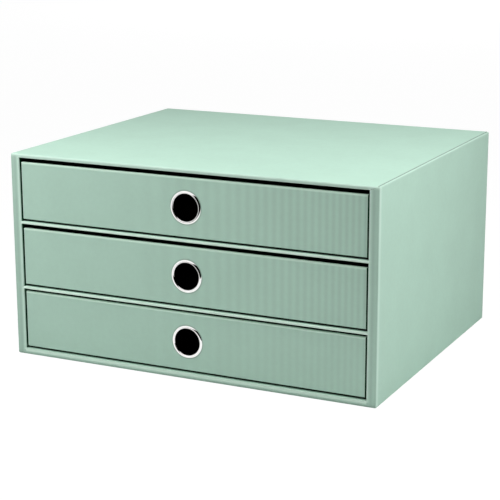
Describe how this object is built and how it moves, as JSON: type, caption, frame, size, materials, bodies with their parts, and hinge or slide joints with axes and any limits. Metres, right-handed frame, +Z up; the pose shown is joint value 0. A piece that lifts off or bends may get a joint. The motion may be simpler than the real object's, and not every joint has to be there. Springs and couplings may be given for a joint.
{
  "type": "paper drawer box",
  "caption": "Desktop drawer box of paper-covered greyboard, with pull-out drawers that have metal-ringed finger holes.",
  "frame": {"origin": "the middle of the case's base, on the surface that it stands on", "axes": "+X to the right seen from the front, -Y out of the drawer fronts, +Z up"},
  "size_m": [0.336, 0.275, 0.1779],
  "materials": {
    "greyboard": "matte",
    "case_paper": "matte",
    "front_paper": "matte",
    "lining_paper": "matte",
    "eyelet_metal": "polished"
  },
  "bodies": {
    "case": {"back_board": "greyboard", "back_paper": "case_paper", "base_liner_board": "greyboard", "base_paper": "case_paper", "bottom_bay_left_spacer": "greyboard", "bottom_bay_lining": "lining_paper", "bottom_bay_right_spacer": "greyboard", "bottom_board": "greyboard", "left_side_board": "greyboard", "lower_shelf_board": "greyboard", "lower_shelf_edging": "case_paper", "middle_bay_left_spacer": "greyboard", "middle_bay_lining": "lining_paper", "middle_bay_right_spacer": "greyboard", "outer_wrap": "case_paper", "right_side_board": "greyboard", "top_bay_left_spacer": "greyboard", "top_bay_lining": "lining_paper", "top_bay_right_spacer": "greyboard", "top_board": "greyboard", "upper_shelf_board": "greyboard", "upper_shelf_edging": "case_paper"},
    "bottom_drawer": {"bottom_drawer_floor": "greyboard", "bottom_drawer_left_wall": "greyboard", "bottom_drawer_right_wall": "greyboard", "bottom_drawer_front_wall": "greyboard", "bottom_drawer_back_wall": "greyboard", "bottom_drawer_wrap": "lining_paper", "bottom_drawer_lining": "lining_paper", "bottom_drawer_front_board": "greyboard", "bottom_drawer_front_cover": "front_paper", "bottom_drawer_eyelet": "eyelet_metal", "bottom_drawer_eyelet_washer": "eyelet_metal"},
    "middle_drawer": {"middle_drawer_floor": "greyboard", "middle_drawer_left_wall": "greyboard", "middle_drawer_right_wall": "greyboard", "middle_drawer_front_wall": "greyboard", "middle_drawer_back_wall": "greyboard", "middle_drawer_wrap": "lining_paper", "middle_drawer_lining": "lining_paper", "middle_drawer_front_board": "greyboard", "middle_drawer_front_cover": "front_paper", "middle_drawer_eyelet": "eyelet_metal", "middle_drawer_eyelet_washer": "eyelet_metal"},
    "top_drawer": {"top_drawer_floor": "greyboard", "top_drawer_left_wall": "greyboard", "top_drawer_right_wall": "greyboard", "top_drawer_front_wall": "greyboard", "top_drawer_back_wall": "greyboard", "top_drawer_wrap": "lining_paper", "top_drawer_lining": "lining_paper", "top_drawer_front_board": "greyboard", "top_drawer_front_cover": "front_paper", "top_drawer_eyelet": "eyelet_metal", "top_drawer_eyelet_washer": "eyelet_metal"}
  },
  "joints": [
    {"name": "bottom_drawer_slide", "type": "slide", "parent": "case", "child": "bottom_drawer", "axis": [0, -1, 0], "range_m": [0, 0.2]},
    {"name": "middle_drawer_slide", "type": "slide", "parent": "case", "child": "middle_drawer", "axis": [0, -1, 0], "range_m": [0, 0.2]},
    {"name": "top_drawer_slide", "type": "slide", "parent": "case", "child": "top_drawer", "axis": [0, -1, 0], "range_m": [0, 0.2]}
  ]
}
